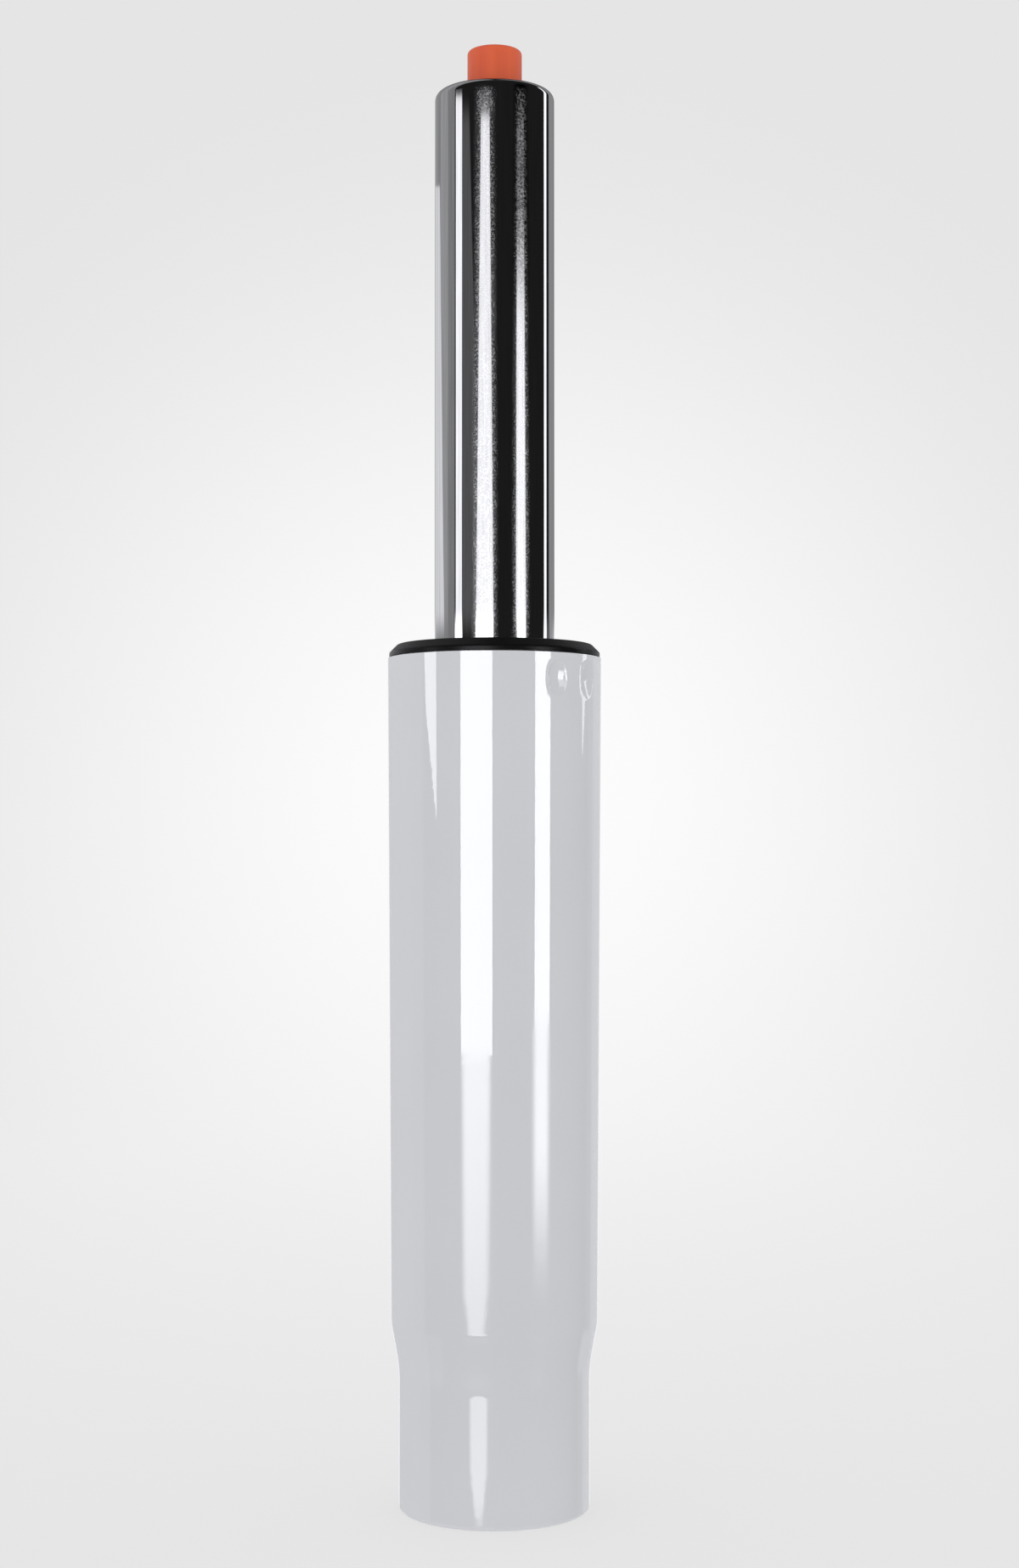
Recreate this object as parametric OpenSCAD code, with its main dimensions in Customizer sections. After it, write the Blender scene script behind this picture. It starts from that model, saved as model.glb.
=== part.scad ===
// Gas lift for an office chair: an outer tube that stands in the chair's base, and a gas spring
// that slides and turns in it. Millimetres, +Z up, origin at the middle of the tube's foot.

/* [Overall] */
// Length of the outer tube with its collar
sleeve_len = 200; // [196:1:212]
// Length from the foot to the button's top, with the column pushed right in
closed_len = 265; // [260:1:290]
// How far the column rises from there
stroke = 90; // [80:1:98]
// How far it is raised as the model stands
raised = 75; // [0:1:78]

/* [Outer tube] */
// Outside diameter at the rim, under the collar
tube_top_d = 50; // [49:0.1:52]
// Outside diameter just above the shoulder
tube_foot_d = 48; // [47:0.1:49]
// Wall thickness
tube_wall = 1.5; // [1.2:0.1:2]
// Diameter of the neck that stands in the base
neck_d = 44.2; // [43:0.1:46]
// Height of the neck
neck_h = 32.6; // [28:0.2:38]
// Height of the sloping shoulder over the neck
shoulder_h = 10.3; // [7:0.1:14]
// Bevel of the foot's outer edge
foot_bevel = 0.8; // [0.3:0.1:1.2]

/* [Stake dents] */
// Diameter of one dent
stake_d = 7.4; // [6:0.1:8]
// Depth of one dent
stake_depth = 1; // [0.6:0.1:1.4]
// How far the dents' middle is below the tube's rim
stake_drop = 6.2; // [5.5:0.1:8]
// Angle between the two dents of a pair
stake_spread = 22; // [20:1:40]
// Direction of the first pair's middle, counted from +X
stake_turn = -42; // [-180:1:180]
// Number of pairs round the tube
stake_pairs = 2; // [1:1:3]

/* [Guide sleeve] */
// Height of the collar over the tube's rim
collar_h = 2.9; // [2:0.1:4]
// How far the collar's side is set in from the tube's
collar_step = 0.4; // [0:0.1:1]
// Part of the collar's height that the slope round its upper edge takes
collar_slope_share = 0.65; // [0.4:0.05:0.7]
// Rounding of the slope's two corners
collar_round = 0.7; // [0.5:0.1:1.8]
// Length of the whole sleeve with its collar
guide_len = 90; // [80:1:100]
// Wall of the bush that the column runs in
guide_wall = 2.4; // [2:0.1:3]
// Running clearance round the column
guide_gap = 0.05; // [0.02:0.01:0.1]
// Lead-in bevel at both ends of the bush
guide_bevel = 0.6; // [0.3:0.1:1]
// Height of the rings that fill the tube's bore
guide_ring_h = 4; // [3:0.1:6]
// Thickness of the ribs between the rings
guide_rib_t = 1.8; // [1.2:0.1:2.4]
// How far the ribs stay clear of the tube
guide_rib_gap = 0.3; // [0.1:0.05:0.6]
// Number of ribs
guide_ribs = 8; // [6:1:12]
// Room round the backs of the dents in the sleeve's groove
stake_room = 0.4; // [0.2:0.1:0.6]

/* [Base plate] */
// Height of the plate's underside over the foot
foot_recess = 9; // [8:0.5:13]
// Thickness of the plate
plate_t = 3; // [2.5:0.1:4]
// Depth of the seat that centres the bearing
race_seat = 0.8; // [0.4:0.1:1.2]

/* [Thrust bearing] */
// Outside diameter of the races
race_d = 22; // [21.5:0.1:26]
// Thickness of a race
race_t = 2.2; // [1.8:0.1:3]
// Diameter of a ball
ball_d = 4; // [3.2:0.1:4.2]
// Number of balls
ball_count = 10; // [8:1:10]
// Depth of the ball track in a race
track_depth = 0.6; // [0.4:0.1:0.8]
// Thickness of the cage
cage_t = 1.4; // [1:0.1:1.8]
// Clearance between the balls and their tracks
ball_play = 0.05; // [0.02:0.01:0.1]
// Clearance between the balls and the cage's pockets
pocket_play = 0.1; // [0.05:0.05:0.2]
// Clearance round the rod's end in the lower race and the plate
race_play = 0.5; // [0.3:0.1:0.8]
// How far both edges of the cage are set in from those of the races
cage_step = 0.4; // [0.2:0.1:0.6]

/* [Piston rod] */
// Diameter of the rod
rod_d = 10; // [9.5:0.1:11]
// Diameter of its lower end, which goes through the bearing and the plate
rod_end_d = 8; // [7:0.1:8.4]
// Diameter of the stud that holds the piston
stud_d = 6; // [5:0.1:7]
// Length of the rod's end below the clip
rod_tail = 2.4; // [1.5:0.1:4]
// Depth of the clip's groove
clip_groove = 0.8; // [0.5:0.1:1.2]
// Thickness of the clip
clip_t = 1.2; // [0.8:0.1:1.5]
// Outside diameter of the clip
clip_d = 14; // [12:0.1:16]
// Width of the clip's mouth
clip_mouth = 5.8; // [5:0.1:6.2]
// Outside diameter of the washer over the clip
rod_washer_d = 18; // [14:0.1:20]
// Thickness of that washer
rod_washer_t = 1.5; // [1:0.1:2]
// Free play between that washer and the plate
rod_play = 0.3; // [0.1:0.05:0.6]
// Outside diameter of the rubber bumper
bumper_d = 24; // [20:0.1:28]
// Height of the rubber bumper
bumper_h = 17; // [12:0.5:20]
// How far the bumper's side is drawn in at its middle
bumper_waist = 1.2; // [0.5:0.1:2]
// Gap between the bumper and the column pushed right in
closed_gap = 0.6; // [0.3:0.1:1]

/* [Piston] */
// Height of the piston
piston_h = 7; // [6:0.1:10]
// Gap between the piston and the inner cylinder's bore
piston_gap = 0.2; // [0.1:0.05:0.3]
// Height of the piston's seal ring
piston_seal_h = 3.4; // [2.4:0.1:4]
// Depth of the round groove in the seal ring's outside
piston_seal_dip = 0.5; // [0.3:0.1:0.7]
// Depth of the seal's groove
piston_groove = 1.8; // [1.2:0.1:2.4]
// Thickness of the washers on both sides of the piston
piston_washer_t = 1.5; // [1:0.1:2]
// Diameter of those washers
piston_washer_d = 16; // [14:0.1:17]
// Height of the stud's riveted head
rivet_h = 2; // [1.5:0.1:3]
// How far the riveted head stands over the stud
rivet_over = 1.4; // [1:0.1:1.8]
// Gap left between the piston and its lower stop at full height
stop_gap = 0.5; // [0.2:0.1:1]

/* [Column] */
// Outside diameter of the pressure tube
column_d = 28; // [27.4:0.1:28.6]
// Wall of the pressure tube
column_wall = 1.5; // [1.2:0.1:1.7]
// Rounding of its rolled ends
column_round = 2; // [1.7:0.1:2.4]
// Width of the rim that is rolled in at both ends
column_lip = 4.5; // [3:0.1:5]
// Bore of the inner cylinder
cylinder_bore_d = 20; // [19:0.1:20.4]
// Wall of the inner cylinder
cylinder_wall = 1; // [0.8:0.1:1.2]

/* [Rod seal and guide] */
// Thickness of the washer at the column's lower end
end_washer_t = 2; // [1:0.1:3]
// Height of the bush that guides the rod
rod_guide_h = 8; // [6:0.1:12]
// Thickness of the ring that backs the seal
backup_t = 1; // [0.8:0.1:2]
// Height of the rod seal
rod_seal_h = 5; // [4:0.1:7]
// Depth of the V groove between the rod seal's two lips
seal_v_h = 3; // [2:0.1:3.6]
// Width of that groove at its mouth
seal_v_w = 2.4; // [1.6:0.1:3.2]
// Thickness of the seat that carries the inner cylinder
seat_t = 3; // [2.4:0.1:4]
// Height of the seat's plug inside the inner cylinder
seat_plug_h = 3; // [2:0.1:4]
// Width of the oil slots in the seat
seat_slot = 2; // [1.5:0.1:3]
// How far those slots reach in past the inner cylinder's bore
seat_slot_in = 1.5; // [1:0.1:2.5]
// Running clearance of the rod in its guide and seal
rod_gap = 0.05; // [0.02:0.01:0.1]
// Clearance of the rod in the other rings
rod_clear = 0.3; // [0.2:0.05:0.6]

/* [Valve] */
// Thickness of the disc under the column's rolled top
end_disc_t = 3; // [2:0.1:4]
// Height of the valve housing's head
head_h = 17.5; // [15:0.1:22]
// Height of its waist, where the oil passes
waist_h = 5; // [4:0.1:7]
// Height of its plug in the inner cylinder
plug_h = 11; // [10:0.1:15]
// Diameter of the valve chamber in the housing
chamber_d = 9; // [8.4:0.1:10]
// Diameter of the cross holes
cross_hole_d = 2; // [1.5:0.1:2.5]
// Height of the spacer between the valve's two seal rings
spacer_h = 5.8; // [5:0.1:6.4]
// Height of the bush that keeps the valve's seal rings in
valve_seat_h = 3; // [2:0.1:3.4]
// Diameter of the valve pin
pin_d = 4; // [3.6:0.1:4.4]
// Diameter of the pin's waist
pin_waist_d = 2.2; // [1.6:0.1:2.6]
// How far that waist ends short of the spacer's ends
pin_waist_in = 0.4; // [0.2:0.1:0.8]
// Clearance of the pin in the housing, the spacer and the valve seat
pin_gap = 0.25; // [0.1:0.05:0.3]
// Diameter of the pin's lower flange
pin_flange_d = 6.4; // [5.4:0.1:7]
// Height of that flange
pin_flange_h = 2; // [1:0.1:2.4]
// Gap between the flange and the valve seat
flange_gap = 0.1; // [0.05:0.05:0.2]
// Cord thickness of the seal ring round the housing's head
head_ring_d = 2; // [1.6:0.1:2.4]
// Cord thickness of the seal ring round the housing's plug
plug_ring_d = 1.5; // [1.2:0.1:1.8]
// Room over and under those two rings in their grooves
ring_room = 0.2; // [0.1:0.05:0.3]

/* [Release button] */
// Diameter of the button
button_d = 12.8; // [11:0.1:14]
// How far the button stands over the column
button_up = 10; // [7:0.5:12]
// Length of the button inside the column
button_in = 4; // [2:0.1:5]
// Rounding of the button's upper edge
button_round = 0.9; // [0.3:0.1:1.5]
// Travel of the button
press_travel = 3; // [1:0.1:3.5]
// Thickness of the button over the pin's end
button_cap_t = 5; // [3:0.1:6]
// Clearance round the button, and under it when it is pressed
button_gap = 0.3; // [0.2:0.05:0.4]

/* [Hidden] */
$fn = 96;
// Gap between pieces of one body that are pressed together
fit = 0.02;
// Overshoot of a cut past the face that it opens
over = 1;

// Radii
column_r = column_d / 2;
column_bore_r = column_r - column_wall;
guide_r = column_r + guide_gap;
bush_r = guide_r + guide_wall;
collar_r = tube_top_d / 2 - collar_step;
collar_slope = collar_h * collar_slope_share;
collar_corner = collar_round * tan(22.5);
cylinder_r = cylinder_bore_d / 2;
rod_r = rod_d / 2;
rod_end_r = rod_end_d / 2;
groove_r = rod_end_r - clip_groove;
stud_r = stud_d / 2;
ball_r = ball_d / 2;
race_bore_r = rod_end_r + race_play;
track_r = (race_d / 2 + race_bore_r) / 2;
pin_r = pin_d / 2;
pin_clear_r = pin_r + pin_gap;
chamber_r = chamber_d / 2;
button_r = button_d / 2;
button_hole_r = button_r + button_gap;
piston_r = cylinder_r - piston_gap;
// Where the back of a dent meets the outer tube's bore
stake_back_r = sqrt(pow(stake_d / 2, 2) + 2 * tube_wall * stake_depth);

// Heights in the outer tube
rim_z = sleeve_len - collar_h;
shoulder_z = neck_h + shoulder_h;
stake_z = rim_z - stake_drop;
guide_low_z = sleeve_len - guide_len;
plate_top_z = foot_recess + plate_t;
race_low_z = plate_top_z - race_seat;
race_top_z = race_low_z + race_t;
ball_z = race_top_z - track_depth + ball_r;
upper_race_z = ball_z + ball_r - track_depth;
rod_step_z = upper_race_z + race_t;
bumper_top_z = rod_step_z + bumper_h;

// Heights of the rod's lower end
washer_low_z = foot_recess - rod_play - rod_washer_t;
clip_top_z = washer_low_z - fit;
clip_low_z = clip_top_z - clip_t;
rod_low_z = clip_low_z - rod_tail;

// Heights in the column, upwards from its rolled lower end
column_closed_z = bumper_top_z + closed_gap;
column_low_z = column_closed_z + raised;
end_washer_z = column_low_z + column_wall;
rod_guide_z = end_washer_z + end_washer_t;
backup_z = rod_guide_z + rod_guide_h;
rod_seal_z = backup_z + backup_t;
seat_z = rod_seal_z + rod_seal_h;
seat_top_z = seat_z + seat_t;
seat_plug_z = seat_top_z + seat_plug_h;

// Heights at the column's upper end
column_top_z = closed_len - button_up + raised;
disc_low_z = column_top_z - column_wall - end_disc_t;
head_low_z = disc_low_z - head_h;
waist_low_z = head_low_z - waist_h;
housing_low_z = waist_low_z - plug_h;
head_ring_z = (disc_low_z + head_low_z) / 2;
plug_ring_z = (waist_low_z + housing_low_z) / 2;
cross_z = head_low_z - waist_h / 2;
button_low_z = column_top_z - button_in;
pocket_z = min(disc_low_z, button_low_z - press_travel - button_gap);

// Heights in the valve, and the cord radius of its two seal rings
valve_ring_r = (chamber_r - pin_r) / 2 - fit;
spacer_top_z = cross_z + spacer_h / 2;
spacer_low_z = cross_z - spacer_h / 2;
chamber_top_z = spacer_top_z + 2 * valve_ring_r + 2 * fit;
valve_seat_z = spacer_low_z - 2 * valve_ring_r - 2 * fit - valve_seat_h;
pin_flange_z = valve_seat_z - flange_gap - pin_flange_h;
pin_top_z = column_top_z + button_up - button_cap_t;

// Heights of the piston, which meets the seat's plug at the top of the stroke
piston_step_z = column_closed_z + stroke + (seat_plug_z - column_low_z) + stop_gap;
piston_z = piston_step_z + piston_washer_t;
piston_top_z = piston_z + piston_h;
rivet_z = piston_top_z + piston_washer_t;

// Radius of the outer tube at a height
function tube_r(z) =
    z <= neck_h ? neck_d / 2
    : z <= shoulder_z ? neck_d / 2 + (tube_foot_d - neck_d) / 2 * (z - neck_h) / shoulder_h
    : tube_foot_d / 2 + (tube_top_d - tube_foot_d) / 2 * (z - shoulder_z) / (rim_z - shoulder_z);

// Radius of the outer tube's bore at a height
function bore_r(z) = tube_r(z) - tube_wall;

// Points of an eighth of a circle, from the given angle on
function arc(x, z, r, from) = [for (i = [0 : 6]) [x + r * cos(from + i * 7.5), z + r * sin(from + i * 7.5)]];

// A flat ring between two heights
module ring(outer_r, inner_r, low, high) {
    translate([0, 0, low])
    difference() {
        cylinder(r = outer_r, h = high - low);
        translate([0, 0, -over])
            cylinder(r = inner_r, h = high - low + 2 * over);
    }
}

// A ring of round cord, such as a seal ring
module cord_ring(middle_r, cord_r, z) {
    translate([0, 0, z])
    rotate_extrude()
        translate([middle_r, 0])
            circle(r = cord_r, $fn = 48);
}

// A radial slot from one radius outwards, along +X
module radial_slot(inner_r, outer_r, width, low, high) {
    translate([inner_r, -width / 2, low])
        cube([outer_r - inner_r, width, high - low]);
}

// Places its children at each stake dent, with +X outwards
module at_stakes() {
    for (pair = [0 : stake_pairs - 1], side = [-1, 1])
        rotate([0, 0, stake_turn + pair * 360 / stake_pairs + side * stake_spread / 2])
            translate([0, 0, stake_z])
                children();
}

// The wall of the outer tube, from its foot to its rim
module tube_shell() {
    rotate_extrude()
        polygon([
            [neck_d / 2 - foot_bevel, 0],
            [neck_d / 2, foot_bevel],
            [neck_d / 2, neck_h],
            [tube_foot_d / 2, shoulder_z],
            [tube_top_d / 2, rim_z],
            [bore_r(rim_z), rim_z],
            [bore_r(shoulder_z), shoulder_z],
            [bore_r(neck_h), neck_h],
            [bore_r(0), 0]
        ]);
}

// The dents are pressed in with the wall's thickness kept, so each stands out inside
module stand_tube() {
    dent_r = (pow(stake_d / 2, 2) + pow(stake_depth, 2)) / (2 * stake_depth);
    dent_x = tube_r(stake_z) - stake_depth + dent_r;
    color("#c6c7cb")
    difference() {
        union() {
            tube_shell();
            intersection() {
                at_stakes()
                    translate([dent_x, 0, 0])
                        sphere(r = dent_r + tube_wall);
                translate([0, 0, shoulder_z])
                    cylinder(r1 = tube_foot_d / 2 - tube_wall / 2, r2 = tube_top_d / 2 - tube_wall / 2,
                        h = rim_z - shoulder_z);
            }
        }
        at_stakes()
            translate([dent_x, 0, 0])
                sphere(r = dent_r);
    }
}

// Disc welded in the neck, with a seat for the bearing and a hole for the rod's end
module base_plate() {
    color("#8d8f92")
    difference() {
        ring(bore_r(0) - fit, race_bore_r, foot_recess, plate_top_z);
        translate([0, 0, race_low_z])
            cylinder(r = race_d / 2 + 2 * fit, h = race_seat + over);
    }
}

// The cone that fills the tube's bore between two heights, but for a gap
module bore_cone(low, high, gap) {
    translate([0, 0, low])
        cylinder(r1 = bore_r(low) - gap, r2 = bore_r(high) - gap, h = high - low);
}

module guide_sleeve() {
    stake_floor_r = bore_r(stake_z) - stake_depth - stake_room;
    stake_half_h = stake_back_r + stake_room;
    span = rim_z - guide_low_z;
    color("#1c1c1e")
    difference() {
        union() {
            // Collar with a slope of 45 degrees round its upper edge
            translate([0, 0, rim_z])
            rotate_extrude()
                polygon(concat(
                    [[0, 0], [collar_r, 0]],
                    arc(collar_r - collar_round, collar_h - collar_slope - collar_corner,
                        collar_round, 0),
                    arc(collar_r - collar_slope - collar_corner, collar_h - collar_round,
                        collar_round, 45),
                    [[0, collar_h]]
                ));
            // Bush for the column
            translate([0, 0, guide_low_z])
                cylinder(r = bush_r, h = span);
            // Rings and ribs, left out round the dents
            difference() {
                union() {
                    for (low = [guide_low_z, guide_low_z + span / 3, guide_low_z + span * 2 / 3])
                        bore_cone(low, low + guide_ring_h, fit);
                    bore_cone(stake_z - stake_half_h - guide_ring_h, rim_z, fit);
                    intersection() {
                        bore_cone(guide_low_z, rim_z, guide_rib_gap);
                        for (i = [0 : guide_ribs - 1])
                            rotate([0, 0, i * 360 / guide_ribs])
                                radial_slot(column_r, tube_top_d / 2, guide_rib_t, guide_low_z, rim_z);
                    }
                }
                ring(tube_top_d, stake_floor_r, stake_z - stake_half_h, stake_z + stake_half_h);
            }
        }
        translate([0, 0, guide_low_z - over])
            cylinder(r = guide_r, h = guide_len + 2 * over);
        translate([0, 0, guide_low_z])
            cylinder(r1 = guide_r + guide_bevel, r2 = guide_r, h = guide_bevel);
        translate([0, 0, sleeve_len - guide_bevel])
            cylinder(r1 = guide_r, r2 = guide_r + guide_bevel, h = guide_bevel);
    }
}

// One bearing race; the ball track is cut round the balls with their clearance
module race(inner_r, low) {
    color("#b4b6b8")
    difference() {
        ring(race_d / 2, inner_r, low, low + race_t);
        cord_ring(track_r, ball_r + ball_play, ball_z);
    }
}

module lower_race() {
    race(race_bore_r, race_low_z);
}

module upper_race() {
    race(rod_end_r + fit, upper_race_z);
}

module at_balls() {
    for (i = [0 : ball_count - 1])
        rotate([0, 0, i * 360 / ball_count])
            translate([track_r, 0, ball_z])
                children();
}

module ball_cage() {
    color("#c9a24a")
    difference() {
        ring(race_d / 2 - cage_step, race_bore_r + cage_step, ball_z - cage_t / 2, ball_z + cage_t / 2);
        at_balls()
            cylinder(r = ball_r + pocket_play, h = cage_t + 2 * over, center = true);
    }
}

module bearing_balls() {
    color("#d8dadc")
    at_balls()
        sphere(r = ball_r);
}

module piston_rod() {
    color("#cfd2d6")
    union() {
        translate([0, 0, rod_low_z])
            cylinder(r = rod_end_r, h = clip_low_z - fit - rod_low_z);
        translate([0, 0, clip_low_z - fit])
            cylinder(r = groove_r, h = clip_t + 2 * fit);
        translate([0, 0, clip_top_z + fit])
            cylinder(r = rod_end_r, h = rod_step_z - clip_top_z - fit);
        translate([0, 0, rod_step_z])
            cylinder(r = rod_r, h = piston_step_z - rod_step_z);
        translate([0, 0, piston_step_z])
            cylinder(r = stud_r, h = rivet_z - piston_step_z);
        translate([0, 0, rivet_z])
            cylinder(r1 = stud_r + rivet_over, r2 = stud_r, h = rivet_h);
    }
}

// Ring with a drawn-in middle, so that it gives when the column lands on it
module rubber_bumper() {
    waist_r = bumper_h / 3;
    color("#2a2a2b")
    difference() {
        ring(bumper_d / 2, rod_r + rod_clear, rod_step_z, bumper_top_z);
        cord_ring(bumper_d / 2 - bumper_waist + waist_r, waist_r, (rod_step_z + bumper_top_z) / 2);
    }
}

module rod_washer() {
    color("#a9abad")
        ring(rod_washer_d / 2, rod_end_r + rod_gap, washer_low_z, washer_low_z + rod_washer_t);
}

// Open spring clip in the groove of the rod's end
module retaining_clip() {
    color("#6c6e70")
    translate([0, 0, clip_low_z])
    linear_extrude(clip_t)
    difference() {
        circle(r = clip_d / 2);
        circle(r = groove_r + fit);
        translate([0, -clip_mouth / 2])
            square([clip_d, clip_mouth]);
    }
}

module piston() {
    groove_low = piston_z + (piston_h - piston_seal_h) / 2 - fit;
    color("#b9bcc0")
    difference() {
        ring(piston_r, stud_r + fit, piston_z, piston_top_z);
        ring(piston_r + over, piston_r - piston_groove, groove_low, groove_low + piston_seal_h + 2 * fit);
    }
}

// Seal ring with a shallow round groove in its outside
module piston_seal() {
    low = piston_z + (piston_h - piston_seal_h) / 2;
    seal_r = cylinder_r - rod_gap;
    color("#262627")
    difference() {
        ring(seal_r, piston_r - piston_groove + fit, low, low + piston_seal_h);
        cord_ring(seal_r, piston_seal_dip, low + piston_seal_h / 2);
    }
}

module piston_washers() {
    color("#a9abad") {
        ring(piston_washer_d / 2, stud_r + fit, piston_step_z, piston_z);
        ring(piston_washer_d / 2, stud_r + fit, piston_top_z, rivet_z);
    }
}

// The outside of the column, with rounded ends
module column_body() {
    rotate_extrude()
        union() {
            translate([0, column_low_z + column_round])
                square([column_r, column_top_z - column_low_z - 2 * column_round]);
            translate([0, column_low_z])
                square([column_r - column_round, column_top_z - column_low_z]);
            translate([column_r - column_round, column_top_z - column_round])
                intersection() {
                    circle(r = column_round, $fn = 64);
                    square(column_round);
                }
            translate([column_r - column_round, column_low_z + column_round])
                intersection() {
                    circle(r = column_round, $fn = 64);
                    translate([0, -column_round])
                        square(column_round);
                }
        }
}

module pressure_tube() {
    color("#3a3b3e")
    difference() {
        column_body();
        translate([0, 0, column_low_z - over])
            cylinder(r = column_r - column_lip, h = column_top_z - column_low_z + 2 * over);
        translate([0, 0, column_low_z + column_wall])
            cylinder(r = column_bore_r, h = column_top_z - column_low_z - 2 * column_wall);
    }
}

module inner_cylinder() {
    color("#c4c6c9")
        ring(cylinder_r + cylinder_wall, cylinder_r, seat_top_z, waist_low_z);
}

module end_washer() {
    color("#a9abad")
        ring(column_bore_r - fit, rod_r + rod_clear, end_washer_z, rod_guide_z);
}

module rod_guide() {
    color("#b89a5a")
        ring(column_bore_r - fit, rod_r + rod_gap, rod_guide_z, backup_z);
}

module seal_backup_ring() {
    color("#e6e4dc")
        ring(column_bore_r - fit, rod_r + rod_clear, backup_z, rod_seal_z);
}

// Rubber seal with a V groove between its two lips, open towards the pressure
module rod_seal() {
    middle_r = (column_bore_r + rod_r) / 2;
    color("#262627")
    difference() {
        ring(column_bore_r - fit, rod_r + rod_gap, rod_seal_z, seat_z);
        rotate_extrude()
            polygon([
                [middle_r, seat_z - seal_v_h],
                [middle_r + seal_v_w / 2, seat_z],
                [middle_r + seal_v_w / 2, seat_z + over],
                [middle_r - seal_v_w / 2, seat_z + over],
                [middle_r - seal_v_w / 2, seat_z]
            ]);
    }
}

// Ring that carries the inner cylinder, with slots that let the oil past its edge
module cylinder_seat() {
    color("#d9d4c4")
    difference() {
        union() {
            ring(column_bore_r - fit, rod_r + rod_clear, seat_z, seat_top_z);
            ring(cylinder_r - fit, rod_r + rod_clear, seat_top_z - fit, seat_plug_z);
        }
        for (turn = [0 : 90 : 270])
            rotate([0, 0, turn])
                radial_slot(cylinder_r - seat_slot_in, column_r, seat_slot,
                    seat_z + seat_t / 2, seat_plug_z + over);
    }
}

module end_disc() {
    color("#a9abad")
        ring(column_bore_r - fit, button_hole_r, disc_low_z, column_top_z - column_wall);
}

module valve_housing() {
    head_groove_h = head_ring_d + 2 * ring_room;
    plug_groove_h = plug_ring_d + 2 * ring_room;
    color("#4a4c50")
    difference() {
        union() {
            translate([0, 0, head_low_z])
                cylinder(r = column_bore_r - fit, h = head_h);
            translate([0, 0, waist_low_z])
                cylinder(r = cylinder_r + cylinder_wall, h = waist_h);
            translate([0, 0, housing_low_z])
                cylinder(r = cylinder_r - fit, h = plug_h);
        }
        // Pocket for the button, hole for the pin, chamber for the valve's rings
        translate([0, 0, pocket_z])
            cylinder(r = button_hole_r, h = disc_low_z - pocket_z + over);
        translate([0, 0, housing_low_z - over])
            cylinder(r = pin_clear_r, h = disc_low_z - housing_low_z + 2 * over);
        translate([0, 0, housing_low_z - over])
            cylinder(r = chamber_r, h = chamber_top_z - housing_low_z + over);
        // Cross holes from the chamber to the space round the inner cylinder
        for (turn = [0, 90])
            rotate([0, 90, turn])
                translate([-cross_z, 0, -column_r])
                    cylinder(r = cross_hole_d / 2, h = column_d);
        // Grooves of the two seal rings
        translate([0, 0, head_ring_z])
            ring(column_r, column_bore_r - head_ring_d, -head_groove_h / 2, head_groove_h / 2);
        translate([0, 0, plug_ring_z])
            ring(column_r, cylinder_r - plug_ring_d, -plug_groove_h / 2, plug_groove_h / 2);
    }
}

module housing_seal() {
    color("#262627")
        cord_ring(column_bore_r - head_ring_d / 2, head_ring_d / 2 - fit, head_ring_z);
}

module cylinder_seal() {
    color("#262627")
        cord_ring(cylinder_r - plug_ring_d / 2, plug_ring_d / 2 - fit, plug_ring_z);
}

// Sleeve between the valve's seal rings, with holes in line with the housing's
module valve_spacer() {
    color("#c9b27a")
    difference() {
        ring(chamber_r - fit, pin_clear_r, spacer_low_z, spacer_top_z);
        for (turn = [0, 90])
            rotate([0, 90, turn])
                translate([-cross_z, 0, -chamber_r - over])
                    cylinder(r = cross_hole_d / 2, h = chamber_d + 2 * over);
    }
}

module valve_seals() {
    color("#262627")
    for (z = [spacer_top_z + valve_ring_r + fit, spacer_low_z - valve_ring_r - fit])
        cord_ring((chamber_r + pin_r) / 2, valve_ring_r, z);
}

module valve_seat() {
    color("#c9b27a")
        ring(chamber_r - fit, pin_clear_r, valve_seat_z, valve_seat_z + valve_seat_h);
}

// The waist sits between the seal rings, and pressing the pin moves it over the lower one
module valve_pin() {
    color("#cfd2d6")
    union() {
        translate([0, 0, spacer_top_z - pin_waist_in])
            cylinder(r = pin_r, h = pin_top_z - spacer_top_z + pin_waist_in);
        translate([0, 0, spacer_low_z + pin_waist_in])
            cylinder(r = pin_waist_d / 2, h = spacer_h - 2 * pin_waist_in);
        translate([0, 0, pin_flange_z])
            cylinder(r = pin_r, h = spacer_low_z + pin_waist_in - pin_flange_z);
        translate([0, 0, pin_flange_z])
            cylinder(r = pin_flange_d / 2, h = pin_flange_h);
    }
}

// Cap on the pin's end, which a lever under the seat presses
module release_button() {
    button_h = button_in + button_up;
    color("#cd5d3c")
    difference() {
        translate([0, 0, button_low_z])
        rotate_extrude()
            union() {
                square([button_r, button_h - button_round]);
                square([button_r - button_round, button_h]);
                translate([button_r - button_round, button_h - button_round])
                    intersection() {
                        circle(r = button_round, $fn = 64);
                        square(button_round);
                    }
            }
        translate([0, 0, button_low_z - over])
            cylinder(r = pin_r + fit, h = pin_top_z + fit - button_low_z + over);
    }
}

stand_tube();
base_plate();
guide_sleeve();
lower_race();
ball_cage();
bearing_balls();
piston_rod();
upper_race();
rubber_bumper();
rod_washer();
retaining_clip();
piston();
piston_seal();
piston_washers();
pressure_tube();
inner_cylinder();
end_washer();
rod_guide();
seal_backup_ring();
rod_seal();
cylinder_seat();
end_disc();
valve_housing();
housing_seal();
cylinder_seal();
valve_spacer();
valve_seals();
valve_seat();
valve_pin();
release_button();
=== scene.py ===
"""Chair gas lift cylinder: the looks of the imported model.

The CAD nodes are the frame. The painted tube and the column are made again here with finer
forms, every other node keeps its mesh, and all of them get procedural finishes.
"""
import math

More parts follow.
